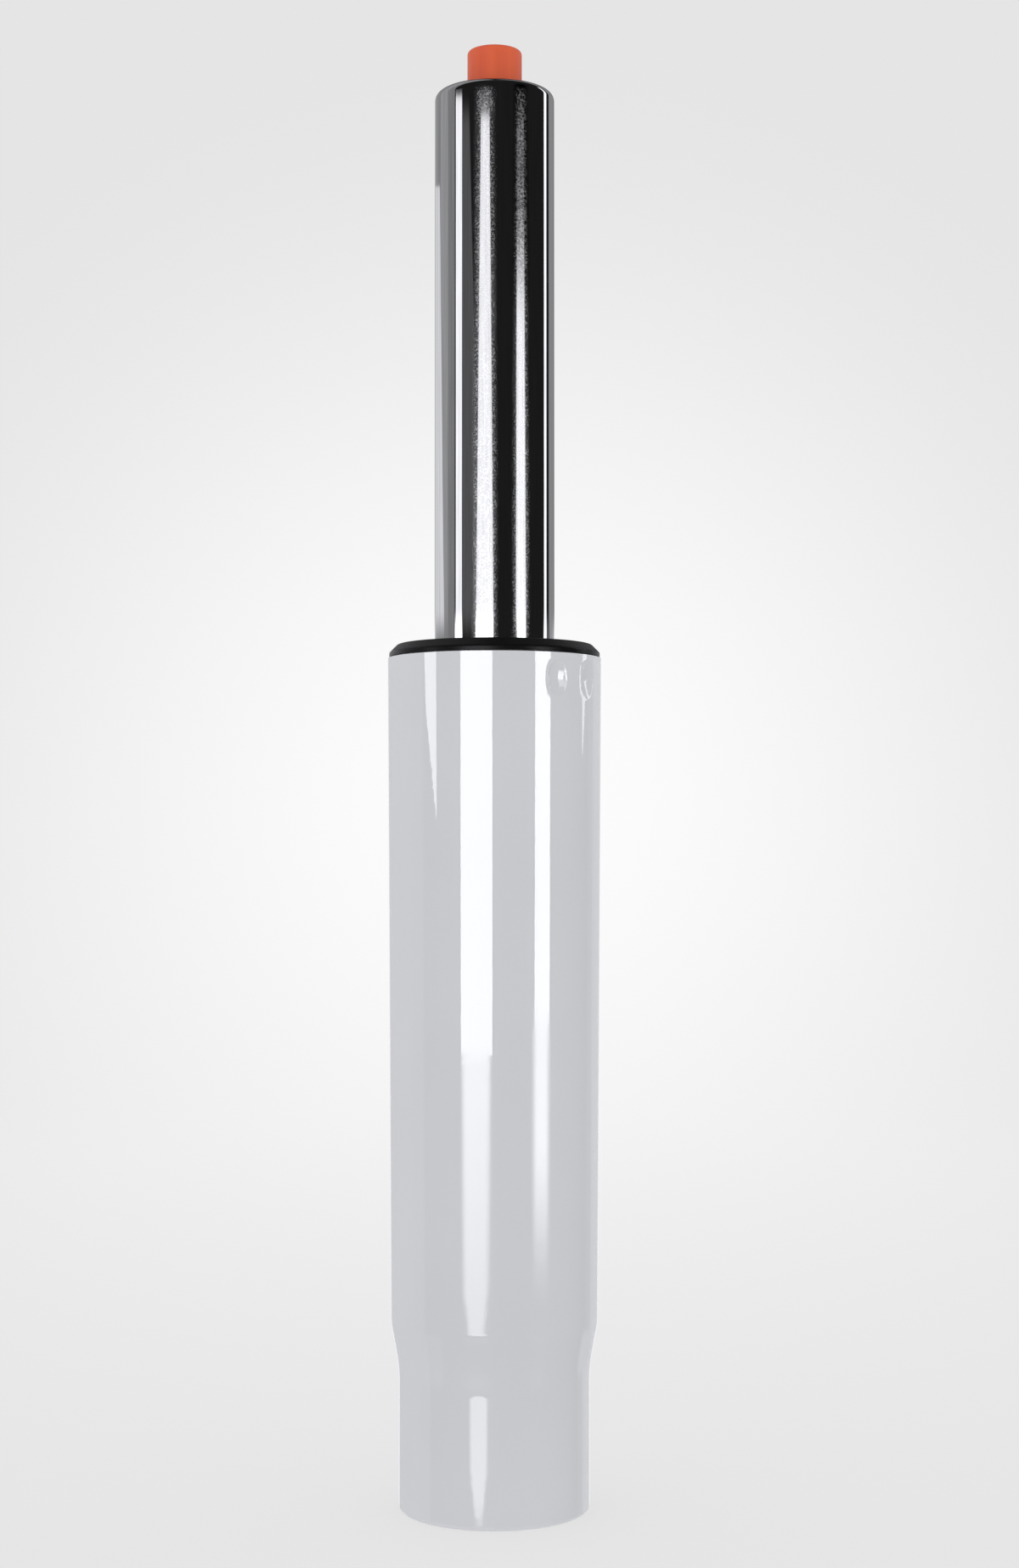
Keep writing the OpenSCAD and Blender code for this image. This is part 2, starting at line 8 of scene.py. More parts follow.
import bpy
from bpy.props import FloatProperty, FloatVectorProperty, IntProperty, PointerProperty
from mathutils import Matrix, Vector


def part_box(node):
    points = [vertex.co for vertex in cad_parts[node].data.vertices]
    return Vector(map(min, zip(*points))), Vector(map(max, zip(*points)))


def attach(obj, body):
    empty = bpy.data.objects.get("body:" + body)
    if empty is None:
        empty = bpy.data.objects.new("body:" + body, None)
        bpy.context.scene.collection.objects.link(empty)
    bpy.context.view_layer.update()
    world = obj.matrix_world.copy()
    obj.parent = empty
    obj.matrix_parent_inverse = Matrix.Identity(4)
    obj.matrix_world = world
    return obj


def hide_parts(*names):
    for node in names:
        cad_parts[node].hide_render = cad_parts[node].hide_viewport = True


bl_info = {
    "name": "Chair Gas Lift Cylinder",
    "version": (1, 0, 0),
    "blender": (4, 5, 0),
    "location": "View3D > Sidebar > Gas Lift",
    "description": "Makes the painted tube, the column, the finishes and the studio of a gas lift",
    "category": "Add Mesh",
}

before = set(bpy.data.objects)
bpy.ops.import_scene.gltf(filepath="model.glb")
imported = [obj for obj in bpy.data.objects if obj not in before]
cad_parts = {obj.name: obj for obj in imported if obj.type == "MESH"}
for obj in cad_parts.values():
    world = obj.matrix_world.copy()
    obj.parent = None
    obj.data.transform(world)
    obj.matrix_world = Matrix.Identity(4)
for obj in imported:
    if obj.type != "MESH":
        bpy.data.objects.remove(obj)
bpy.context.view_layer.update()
STAND_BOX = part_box("stand_tube")
COLUMN_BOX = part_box("pressure_tube")
MM = 0.001

# Edges that bend by more than this angle are shaded sharp.
SHARP_ANGLE = math.radians(35)

# The four stake dents: the angles of their middles round the tube, from +X in degrees, and
# their form. Distances are in the dent's half width, and depths in its whole depth.
DENT_ANGLES = (-55, -31.5, 125, 148.5)
DENT_REACH = 1.5
DENT_HALF_WIDTH = 0.85
DENT_HALF_HEIGHT = 1.14
BOWL_DEPTH = 0.65
BOWL_BEND_LEFT = 0.4
BOWL_BEND_RIGHT = 1.1
BOWL_BEND_UPRIGHT = 0.5
WALL_SLOPE = 4.4
BORDER_SLOPE = 0.33
BORDER_SHARE = 0.25
DENT_SOFTNESS = 0.03 * MM

# The column's two bands of painted glints, where the studio strips reflect towards the camera:
# the azimuths that their middles face, 0 in front and growing to the right, in degrees.
FRONT_BAND = -9
SIDE_BAND = 26

# The studio: its level between the panels and its tint, how much the floor glows by itself and
# how far it lies under the object, and the faces round its sheets.
ROOM_LEVEL = 0.032
STUDIO_TINT = (0.985, 0.992, 1.025, 1)
FLOOR_GLOW = 0.75
FLOOR_GAP = 0.1 * MM
STAGE_SEGMENTS = 96


class StandSizes(bpy.types.PropertyGroup):
    """Sizes and colour of the painted tube."""

    rim_radius: FloatProperty(
        name="Rim radius", description="Outer radius of the tube under the collar",
        default=STAND_BOX[1].x, min=0.01, max=0.05, unit="LENGTH", subtype="DISTANCE")
    rim_height: FloatProperty(
        name="Rim height", description="Height of the tube's upper edge",
        default=STAND_BOX[1].z, min=0.1, max=0.4, unit="LENGTH", subtype="DISTANCE")
    waist_radius: FloatProperty(
        name="Waist radius", description="Outer radius where the shoulder starts",
        default=24 * MM, min=0.01, max=0.05, unit="LENGTH", subtype="DISTANCE")
    waist_height: FloatProperty(
        name="Waist height", description="Height of the shoulder's upper end",
        default=42.9 * MM, min=0.02, max=0.1, unit="LENGTH", subtype="DISTANCE")
    neck_radius: FloatProperty(
        name="Neck radius", description="Outer radius of the neck that the chair's foot grips",
        default=22.1 * MM, min=0.01, max=0.05, unit="LENGTH", subtype="DISTANCE")
    neck_height: FloatProperty(
        name="Neck height", description="Height of the shoulder's lower end",
        default=32.6 * MM, min=0.01, max=0.1, unit="LENGTH", subtype="DISTANCE")
    wall: FloatProperty(
        name="Wall", description="Thickness of the tube's steel",
        default=1.5 * MM, min=0.0005, max=0.004, unit="LENGTH", subtype="DISTANCE")
    foot_bevel: FloatProperty(
        name="Foot bevel", description="Bevel round the foot's edge",
        default=0.8 * MM, min=0.0, max=0.003, unit="LENGTH", subtype="DISTANCE")
    dent_height: FloatProperty(
        name="Dent height", description="Height of the stake dents that hold the guide",
        default=190.9 * MM, min=0.1, max=0.4, unit="LENGTH", subtype="DISTANCE")
    dent_radius: FloatProperty(
        name="Dent radius", description="Half the width of a stake dent",
        default=3.7 * MM, min=0.001, max=0.008, unit="LENGTH", subtype="DISTANCE")
    dent_depth: FloatProperty(
        name="Dent depth", description="How far a stake dent goes into the wall",
        default=1 * MM, min=0.0, max=0.002, unit="LENGTH", subtype="DISTANCE")
    segments: IntProperty(
        name="Segments", description="Faces round the tube", default=480, min=48, max=1024)
    paint: FloatVectorProperty(
        name="Paint", description="Colour of the tube's grey paint",
        default=(0.592, 0.600, 0.627), min=0.0, max=1.0, size=3, subtype="COLOR")


class ColumnSizes(bpy.types.PropertyGroup):
    """Sizes and colour of the column."""

    radius: FloatProperty(
        name="Radius", description="Outer radius of the column",
        default=COLUMN_BOX[1].x, min=0.005, max=0.03, unit="LENGTH", subtype="DISTANCE")
    wall: FloatProperty(
        name="Wall", description="Thickness of the column's steel",
        default=1.5 * MM, min=0.0005, max=0.004, unit="LENGTH", subtype="DISTANCE")
    lip_radius: FloatProperty(
        name="Lip radius", description="Radius of the hole that each rolled end leaves",
        default=9.5 * MM, min=0.002, max=0.03, unit="LENGTH", subtype="DISTANCE")
    end_round: FloatProperty(
        name="End rounding", description="Radius of the rolled edge at both ends",
        default=2 * MM, min=0.0005, max=0.005, unit="LENGTH", subtype="DISTANCE")
    segments: IntProperty(
        name="Segments", description="Faces round the column", default=256, min=48, max=1024)
    steel: FloatVectorProperty(
        name="Steel", description="Colour of the column's dark polished steel",
        default=(0.30, 0.30, 0.302), min=0.0, max=1.0, size=3, subtype="COLOR")


class TrimColours(bpy.types.PropertyGroup):
    """Colours of the collar and of the release button."""

    collar: FloatVectorProperty(
        name="Collar", description="Colour of the black collar and guide",
        default=(0.0045, 0.0045, 0.005), min=0.0, max=1.0, size=3, subtype="COLOR")
    button: FloatVectorProperty(
        name="Button", description="Colour of the release button",
        default=(0.69, 0.104, 0.034), min=0.0, max=1.0, size=3, subtype="COLOR")


class StageSizes(bpy.types.PropertyGroup):
    """Camera, backdrop and studio panels."""

    lens: FloatProperty(
        name="Lens", description="Focal length for a 36 mm long side", default=58.93, min=10,
        max=300)
    camera_place: FloatVectorProperty(
        name="Camera place", description="Where the camera stands",
        default=(0.0035, -0.599, 0.150), size=3, unit="LENGTH", subtype="TRANSLATION")
    camera_pitch: FloatProperty(
        name="Camera pitch", description="How far the camera looks up",
        default=math.radians(1.68), min=-1.5, max=1.5, unit="ROTATION", subtype="ANGLE")
    wall_radius: FloatProperty(
        name="Wall radius", description="Radius of the round backdrop",
        default=1.25, min=1.1, max=5, unit="LENGTH", subtype="DISTANCE")
    # The centre and edge colours make a painted pool of light on the backdrop and the floor.
    centre_colour: FloatVectorProperty(
        name="Centre colour", description="Backdrop behind the middle of the object",
        default=(0.98, 0.98, 0.98), min=0.0, max=1.0, size=3, subtype="COLOR")
    edge_colour: FloatVectorProperty(
        name="Edge colour", description="Backdrop towards the corners",
        default=(0.783, 0.783, 0.783), min=0.0, max=1.0, size=3, subtype="COLOR")
    panel_level: FloatProperty(
        name="Panel level", description="Brightness of the studio panels in reflections",
        default=1.0, min=0.0, max=4.0)


class GasLiftSettings(bpy.types.PropertyGroup):
    """All the sizes and colours of the gas lift."""

    stand: PointerProperty(type=StandSizes)
    column: PointerProperty(type=ColumnSizes)
    trim: PointerProperty(type=TrimColours)
    stage: PointerProperty(type=StageSizes)


def rounded(corners, step=math.radians(9)):
    """Return a closed outline of (r, z) with each (r, z, radius) corner turned into an arc."""
    outline = []
    for i, (r, z, radius) in enumerate(corners):
        before = corners[i - 1]
        after = corners[(i + 1) % len(corners)]
        back = (before[0] - r, before[1] - z)
        ahead = (after[0] - r, after[1] - z)
        back_len = math.hypot(*back)
        ahead_len = math.hypot(*ahead)
        back = (back[0] / back_len, back[1] / back_len)
        ahead = (ahead[0] / ahead_len, ahead[1] / ahead_len)
        half = math.acos(max(-1.0, min(1.0, back[0] * ahead[0] + back[1] * ahead[1]))) / 2
        straight = half > math.radians(89.9)
        if radius <= 0 or straight:
            outline.append((r, z))
            continue
        reach = radius / math.tan(half)
        middle = (back[0] + ahead[0], back[1] + ahead[1])
        scale = radius / math.sin(half) / math.hypot(*middle)
        centre = (r + middle[0] * scale, z + middle[1] * scale)
        first = (r + back[0] * reach - centre[0], z + back[1] * reach - centre[1])
        turn = math.pi - 2 * half
        if first[0] * ahead[1] - first[1] * ahead[0] < 0:
            turn = -turn
        pieces = max(4, math.ceil(abs(turn) / step))
        for k in range(pieces + 1):
            angle = turn * k / pieces
            outline.append((
                centre[0] + first[0] * math.cos(angle) - first[1] * math.sin(angle),
                centre[1] + first[0] * math.sin(angle) + first[1] * math.cos(angle)))
    return outline


def supported(outline, near=0.25 * MM, long=3 * MM):
    """Add a row close to both ends of every long run, so that its shading stays straight."""
    rows = []
    for i, (r, z) in enumerate(outline):
        rows.append((r, z))
        after = outline[(i + 1) % len(outline)]
        length = math.hypot(after[0] - r, after[1] - z)
        if length > long:
            for share in (near / length, 1 - near / length):
                rows.append((r + (after[0] - r) * share, z + (after[1] - z) * share))
    return rows


def with_rows(outline, low, high, step):
    """Cut the outline's long runs into short rows between two heights."""
    rows = []
    for i, (r, z) in enumerate(outline):
        rows.append((r, z))
        after = outline[(i + 1) % len(outline)]
        rise = after[1] - z
        if abs(rise) <= step:
            continue
        cuts = [low + step * k for k in range(int((high - low) / step) + 1)]
        shares = sorted((cut - z) / rise for cut in cuts)
        for share in shares:
            if 0.001 < share < 0.999:
                rows.append((r + (after[0] - r) * share, z + rise * share))
    return rows


def lathe(name, outline, segments, shape=None):
    """Turn a closed (r, z) outline round Z into a mesh object, after an optional shaping."""
    corners = []
    for r, z in outline:
        for k in range(segments):
            angle = 2 * math.pi * k / segments
            radius = shape(r, z, angle) if shape else r
            corners.append((radius * math.cos(angle), radius * math.sin(angle), z))
    faces = []
    count = len(outline)
    for i in range(count):
        row = i * segments
        above = (i + 1) % count * segments
        for k in range(segments):
            after = (k + 1) % segments
            faces.append((row + k, row + after, above + after, above + k))
    mesh = bpy.data.meshes.new(name)
    mesh.from_pydata(corners, [], faces)
    mesh.validate()
    mesh.shade_smooth()
    mesh.set_sharp_from_angle(angle=SHARP_ANGLE)
    piece = bpy.data.objects.new(name, mesh)
    bpy.context.scene.collection.objects.link(piece)
    return piece


def soft_step(value, softness):
    """Return max(value, 0) with its corner rounded over the given softness."""
    beyond_rounding = value > 20 * softness
    if beyond_rounding:
        return value
    return softness * math.log1p(math.exp(value / softness))


def stake_depth(side, up):
    """Return a stake dent's depth at a place beside and above its middle, below 0 outside it."""
    bend = BOWL_BEND_RIGHT if side > 0 else BOWL_BEND_LEFT
    bowl = BOWL_DEPTH - bend * side ** 2 - BOWL_BEND_UPRIGHT * up ** 2
    far = (abs(side / DENT_HALF_WIDTH) ** 3 + abs(up / DENT_HALF_HEIGHT) ** 3) ** (1 / 3)
    foot = 1 - BORDER_SHARE * max(0.0, min(1.0, -side / 0.5))
    wall = max(WALL_SLOPE * (foot - far), BORDER_SLOPE * (1 - far))
    return min(bowl, wall)


class Nodes:
    """Short ways to add and join the nodes of one tree."""

    def __init__(self, tree):
        self.tree = tree
        tree.nodes.clear()

    def add(self, kind, inputs=None, **settings):
        """Add a node, with its settings and its inputs given as values or as sockets."""
        node = self.tree.nodes.new(kind)
        for key, value in settings.items():
            setattr(node, key, value)
        for key, value in (inputs or {}).items():
            if isinstance(value, bpy.types.NodeSocket):
                self.tree.links.new(value, node.inputs[key])
            else:
                node.inputs[key].default_value = value
        return node

    def math(self, operation, first, second=0.0, third=0.0):
        """Add a Math node and return its output."""
        node = self.add("ShaderNodeMath", {0: first, 1: second, 2: third}, operation=operation)
        return node.outputs[0]

    def span(self, value, low, high, to_low=0.0, to_high=1.0, smooth=False):
        """Map a value from one range to another, with its ends held."""
        node = self.add(
            "ShaderNodeMapRange",
            {"Value": value, "From Min": low, "From Max": high, "To Min": to_low,
             "To Max": to_high},
            interpolation_type="SMOOTHSTEP" if smooth else "LINEAR")
        return node.outputs[0]

    def vary(self, noise, to_low=0.0, to_high=1.0):
        """Map the range that a noise mostly keeps to, 0.3 to 0.7, to another one."""
        return self.span(noise, 0.3, 0.7, to_low, to_high)

    def blend(self, factor, first, second):
        """Mix two colours, which are sockets 6 and 7 of a Mix node, and return socket 2."""
        node = self.add("ShaderNodeMix", {0: factor, 6: first, 7: second}, data_type="RGBA")
        return node.outputs[2]

    def noise(self, vector, scale, detail=2.0, roughness=0.5):
        """Add a noise texture with its scale per metre and return its value."""
        node = self.add("ShaderNodeTexNoise",
                        {"Vector": vector, "Scale": scale, "Detail": detail,
                         "Roughness": roughness})
        return node.outputs["Fac"]

    def place(self):
        """Return the object's own coordinates, in metres."""
        return self.add("ShaderNodeTexCoord").outputs["Object"]

    def ring_place(self, around):
        """Return coordinates that run in rings round Z, as tool marks do."""
        split = self.add("ShaderNodeSeparateXYZ", {0: self.place()}).outputs
        radius = self.math("SQRT", self.math("ADD", self.math("MULTIPLY", split[0], split[0]),
                                             self.math("MULTIPLY", split[1], split[1])))
        joined = self.add("ShaderNodeCombineXYZ", {
            0: self.math("MULTIPLY", split[0], around),
            1: radius,
            2: split[2]})
        return joined.outputs[0]

    def streak_place(self, along):
        """Return coordinates that are stretched along Z, as drawing marks are."""
        scaled = self.add("ShaderNodeVectorMath", {0: self.place(), 1: (1.0, 1.0, along)},
                          operation="MULTIPLY")
        return scaled.outputs[0]

    def bump(self, height, depth, normal=None):
        """Add a bump of the given depth in metres and return its normal."""
        inputs = {"Height": height, "Distance": depth}
        if normal is not None:
            inputs["Normal"] = normal
        return self.add("ShaderNodeBump", inputs).outputs[0]

    def facing(self, place, radius, azimuth):
        """Return how much the side of an upright tube faces an azimuth, from -1 to 1."""
        angle = math.radians(azimuth)
        aim = (math.sin(angle) / radius, -math.cos(angle) / radius, 0.0)
        side = self.add("ShaderNodeVectorMath", {0: place, 1: aim}, operation="DOT_PRODUCT")
        return side.outputs["Value"]

    def finish(self, **inputs):
        """Add the Principled shader and the output, with inputs named by their sockets."""
        shader = self.add("ShaderNodeBsdfPrincipled",
                          {key.replace("_", " "): value for key, value in inputs.items()})
        self.add("ShaderNodeOutputMaterial", {"Surface": shader.outputs[0]})
        return shader


def new_finish(name):
    """Return a new material and the helper for its nodes."""
    material = bpy.data.materials.new(name)
    material.use_nodes = True
    return material, Nodes(material.node_tree)


def shade(colour, factor):
    """Return the colour made lighter or darker by a factor, with alpha."""
    return tuple(min(1.0, part * factor) for part in colour[:3]) + (1.0,)


def tube_paint(colour):
    """Grey stoved paint with a clear gloss and a faint orange peel."""
    material, nodes = new_finish("grey_tube_paint")
    place = nodes.place()
    drift = nodes.noise(place, 28, 2)
    peel = nodes.noise(place, 420, 1.5, 0.4)
    ripple = nodes.noise(nodes.streak_place(0.12), 190, 1)
    base = nodes.blend(nodes.vary(drift), shade(colour, 0.985), shade(colour, 1.015))
    normal = nodes.bump(peel, 0.006 * MM)
    normal = nodes.bump(ripple, 0.005 * MM, normal=normal)
    nodes.finish(
        Base_Color=base, Roughness=nodes.vary(peel, 0.50, 0.58),
        IOR=1.5, Specular_IOR_Level=0.15, Coat_Weight=1.0, Coat_Roughness=0.014, Coat_IOR=1.5,
        Coat_Normal=normal)
    return material


def column_steel(colour, radius, top):
    """Dark polished steel with two bands of painted glints where the studio strips reflect, and
    painted shade near the top.
    """
    material, nodes = new_finish("dark_column_steel")
    place = nodes.place()
    grains = nodes.noise(place, 2050, 1.5, 0.6)
    clumps = nodes.noise(place, 150, 2, 0.6)
    streaks = nodes.noise(nodes.streak_place(0.02), 3000, 2)
    height = nodes.add("ShaderNodeSeparateXYZ", {0: place}).outputs[2]

    # A place is in a band where it all but faces the band's azimuth, where a studio strip
    # reflects.
    # The bands grow narrower from 105 mm to 10 mm under the top, and painted shade darkens the
    # side band from 66 mm to 28 mm.
    narrower = nodes.span(height, top - 105 * MM, top - 10 * MM, 0.0, 0.009)
    front = nodes.math("SUBTRACT", nodes.facing(place, radius, FRONT_BAND), narrower)
    side = nodes.math("SUBTRACT", nodes.facing(place, radius, SIDE_BAND), narrower)
    painted_shade = nodes.math("MULTIPLY", nodes.span(side, 0.979, 0.989),
                      nodes.span(height, top - 66 * MM, top - 28 * MM, smooth=True))
    glint_bands = nodes.math("MAXIMUM", nodes.span(front, 0.970, 0.991, smooth=True),
                      nodes.span(side, 0.9816, 0.996, smooth=True))
    # The haze is a rough coat in grains inside the bands: painted glints where the strips reflect.
    haze = nodes.math("MAXIMUM", nodes.span(grains, 0.41, 0.62),
                      nodes.span(painted_shade, 0.0, 1.0, 0.35, 0.0))
    haze = nodes.math("MULTIPLY", haze, nodes.span(clumps, 0.35, 0.65, 0.6, 1.0))
    below_edge = nodes.span(height, top - 4 * MM, top - 2 * MM, 1.0, 0.0)
    haze = nodes.math("MULTIPLY", haze, below_edge)
    haze = nodes.math("MULTIPLY", haze, glint_bands)
    # A third of the haze also darkens the steel's colour, as painted shade round the glints.
    painted_shade = nodes.math("MAXIMUM", painted_shade, nodes.math("MULTIPLY", haze, 0.33))
    polish = nodes.blend(nodes.vary(streaks), shade(colour, 0.9), shade(colour, 1.1))
    # The dimmed places fall to 8 % of the steel's colour: painted shade over its reflection.
    nodes.finish(Base_Color=nodes.blend(painted_shade, polish, shade(colour, 0.08)), Metallic=1.0,
                 Roughness=nodes.math("MULTIPLY_ADD", streaks, 0.02, 0.02),
                 Coat_Weight=haze, Coat_Roughness=0.3, Coat_IOR=2.5)
    return material


def moulded_plastic(name, colour, rough, grain, depth, drift, gloss=0.5):
    """Moulded plastic with a fine eroded grain, its depth in mm, and a slight colour drift."""
    material, nodes = new_finish(name)
    place = nodes.place()
    fine = nodes.noise(place, grain, 3, 0.6)
    slow = nodes.noise(place, 90, 2)
    base = nodes.blend(nodes.vary(slow), shade(colour, 1 - drift),
                       shade(colour, 1 + drift))
    nodes.finish(Base_Color=base, Roughness=nodes.vary(fine, rough * 0.88, rough),
                 IOR=1.5, Specular_IOR_Level=gloss, Normal=nodes.bump(fine, depth * MM))
    return material


def button_plastic(colour):
    """Orange moulded plastic with faint upright flow bands."""
    material, nodes = new_finish("orange_button_plastic")
    place = nodes.place()
    fine = nodes.noise(place, 1500, 3, 0.6)
    bands = nodes.noise(nodes.streak_place(0.03), 480, 1.5)
    base = nodes.blend(
        nodes.span(bands, 0.35, 0.65),
        (colour[0] * 0.97, colour[1] * 0.93, colour[2] * 1.08, 1.0),
        (colour[0] * 1.02, colour[1] * 1.05, colour[2] * 0.94, 1.0))
    nodes.finish(Base_Color=base, Roughness=nodes.vary(fine, 0.44, 0.54), IOR=1.5,
                 Specular_IOR_Level=0.35, Normal=nodes.bump(fine, 0.0015 * MM))
    return material


def worked_metal(name, colour, rough, marks, around=0.02, tint=0.05):
    """Metal with a slight patchy tint and fine marks, their depth in mm.

    The marks are rings, as turning leaves, and shorter the nearer around is to 1.
    """
    material, nodes = new_finish(name)
    rings = nodes.noise(nodes.ring_place(around), 3200, 2, 0.6)
    patch = nodes.noise(nodes.place(), 160, 3, 0.55)
    base = nodes.blend(nodes.vary(patch), shade(colour, 1 - tint),
                       shade(colour, 1 + tint))
    low = nodes.vary(rings, rough * 0.8, rough * 1.2)
    rough_all = nodes.math("MULTIPLY", low, nodes.vary(patch, 0.9, 1.1))
    nodes.finish(Base_Color=base, Metallic=1.0, Roughness=rough_all,
                 Normal=nodes.bump(rings, marks * MM))
    return material


def zinc_plate(name, colour):
    """Bright zinc plate with small crystals and a faint yellow and blue tint."""
    material, nodes = new_finish(name)
    place = nodes.place()
    cells = nodes.add("ShaderNodeTexVoronoi", {"Vector": place, "Scale": 900.0})
    grey = nodes.add("ShaderNodeRGBToBW", {0: cells.outputs["Color"]}).outputs[0]
    haze = nodes.noise(place, 120, 2)
    warm = (colour[0] * 1.03, colour[1] * 1.0, colour[2] * 0.92, 1.0)
    cool = (colour[0] * 0.96, colour[1] * 0.99, colour[2] * 1.05, 1.0)
    base = nodes.blend(nodes.vary(haze), warm, cool)
    nodes.finish(Base_Color=base, Metallic=1.0, Roughness=nodes.span(grey, 0.2, 0.8, 0.28, 0.4),
                 Normal=nodes.bump(haze, 0.01 * MM))
    return material


def soft_rubber(name, colour, rough):
    """Matt rubber with a fine grain and a pale bloom in patches."""
    material, nodes = new_finish(name)
    place = nodes.place()
    fine = nodes.noise(place, 2200, 3, 0.6)
    bloom = nodes.noise(place, 140, 4, 0.6)
    base = nodes.blend(nodes.span(bloom, 0.45, 0.75), shade(colour, 1.0), shade(colour, 1.6))
    nodes.finish(Base_Color=base, Roughness=nodes.vary(bloom, rough, rough * 1.1),
                 IOR=1.5, Specular_IOR_Level=0.4, Normal=nodes.bump(fine, 0.006 * MM))
    return material


def sintered_bronze(name, colour):
    """Porous bearing bronze, dark in its pores."""
    material, nodes = new_finish(name)
    place = nodes.place()
    pores = nodes.noise(place, 3400, 3, 0.65)
    base = nodes.blend(nodes.span(pores, 0.36, 0.5), shade(colour, 0.45), shade(colour, 1.05))
    nodes.finish(Base_Color=base, Metallic=1.0,
                 Roughness=nodes.vary(pores, 0.55, 0.32),
                 Normal=nodes.bump(pores, 0.01 * MM))
    return material


def dress(material, *names):
    """Put a finish on the slots of CAD nodes, whose meshes stay as they are."""
    for name in names:
        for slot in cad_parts[name].material_slots:
            slot.material = material


class GASLIFT_OT_outer_tube(bpy.types.Operator):
    """Make the painted tube with its neck, soft shoulder, rim and stake dents."""

    bl_idname = "gaslift.outer_tube"
    bl_label = "Outer Tube"

    def execute(self, context):
        size = context.scene.gaslift.stand
        wall = size.wall
        foot_round = 0.5 * MM
        neck_bend = 34 * MM
        waist_bend = 13 * MM
        rim_round = 0.3 * MM
        bore_round = 0.2 * MM
        foot_bore_round = 0.15 * MM
        row_step = 0.25 * MM
        margin = 0.4 * MM
        corners = [
            (size.neck_radius - size.foot_bevel, 0, foot_round),
            (size.neck_radius, size.foot_bevel, foot_round),
            (size.neck_radius, size.neck_height, neck_bend),
            (size.waist_radius, size.waist_height, waist_bend),
            (size.rim_radius, size.rim_height, rim_round),
            (size.rim_radius - wall, size.rim_height, bore_round),
            (size.waist_radius - wall, size.waist_height, waist_bend),
            (size.neck_radius - wall, size.neck_height, neck_bend),
            (size.neck_radius - wall, 0, foot_bore_round),
        ]
        outline = supported(rounded(corners))
        reach = size.dent_radius * DENT_REACH
        outline = with_rows(outline, size.dent_height - reach, size.dent_height + reach,
                            row_step)
        middles = [math.radians(angle) for angle in DENT_ANGLES]

        def staked(r, z, angle):
            """Push the wall in where the stake punch has struck."""
            rise = z - size.dent_height
            if abs(rise) > reach + margin or r < size.neck_radius:
                return r
            push = 0.0
            for middle in middles:
                turn = (angle - middle + math.pi) % (2 * math.pi) - math.pi
                side = turn * size.rim_radius / size.dent_radius
                depth = size.dent_depth * stake_depth(side, rise / size.dent_radius)
                push += soft_step(depth, DENT_SOFTNESS)
            return r - push

        tube = lathe("outer_tube", outline, size.segments, staked)
        tube.data.materials.append(tube_paint(size.paint))
        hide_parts("stand_tube")
        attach(tube, "stand")
        return {"FINISHED"}


class GASLIFT_OT_column_tube(bpy.types.Operator):
    """Make the dark polished column with its two rolled ends."""

    bl_idname = "gaslift.column_tube"
    bl_label = "Column Tube"

    def execute(self, context):
        size = context.scene.gaslift.column
        low = COLUMN_BOX[0].z
        high = COLUMN_BOX[1].z
        bore = size.radius - size.wall
        lip_round = 0.35 * MM
        inner_round = 0.2 * MM
        corners = [
            (size.radius, low, size.end_round),
            (size.radius, high, size.end_round),
            (size.lip_radius, high, lip_round),
            (size.lip_radius, high - size.wall, inner_round),
            (bore, high - size.wall, 0),
            (bore, low + size.wall, 0),
            (size.lip_radius, low + size.wall, inner_round),
            (size.lip_radius, low, lip_round),
        ]
        outline = supported(rounded(corners, math.radians(6)))
        column = lathe("column_tube", outline, size.segments)
        column.data.materials.append(column_steel(size.steel, size.radius, high))
        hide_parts("pressure_tube")
        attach(column, "cylinder")
        return {"FINISHED"}


class GASLIFT_OT_collar(bpy.types.Operator):
    """Finish the black collar and the ribbed guide under it."""

    bl_idname = "gaslift.collar"
    bl_label = "Collar and Guide"

    def execute(self, context):
        colour = context.scene.gaslift.trim.collar
        dress(moulded_plastic("black_collar_plastic", colour, rough=0.34, grain=1400,
                              depth=0.003, drift=0.04, gloss=0.1),
              "guide_sleeve")
        return {"FINISHED"}


class GASLIFT_OT_button(bpy.types.Operator):
    """Finish the release button and the valve pin under it."""

    bl_idname = "gaslift.button"
    bl_label = "Release Button"

    def execute(self, context):
        dress(button_plastic(context.scene.gaslift.trim.button), "release_button")
        dress(worked_metal("polished_pin_steel", (0.62, 0.63, 0.65), rough=0.16, marks=0.001),
              "valve_pin")
        return {"FINISHED"}


class GASLIFT_OT_bearing(bpy.types.Operator):
    """Finish the ball thrust bearing and the plate that it stands on."""

    bl_idname = "gaslift.bearing"
    bl_label = "Thrust Bearing"

    def execute(self, context):
        dress(worked_metal("rolled_plate_steel", (0.40, 0.41, 0.42), rough=0.38, marks=0.004,
                           around=1.0, tint=0.12),
              "base_plate")
        dress(worked_metal("ground_race_steel", (0.58, 0.59, 0.60), rough=0.2, marks=0.0015),
              "lower_race", "upper_race")
        dress(worked_metal("polished_ball_steel", (0.66, 0.67, 0.68), rough=0.06, marks=0.0002,
                           around=1.0, tint=0.01),
              "bearing_balls")
        dress(worked_metal("pressed_cage_brass", (0.76, 0.56, 0.26), rough=0.26, marks=0.002,
                           around=1.0, tint=0.08),
              "ball_cage")
        return {"FINISHED"}


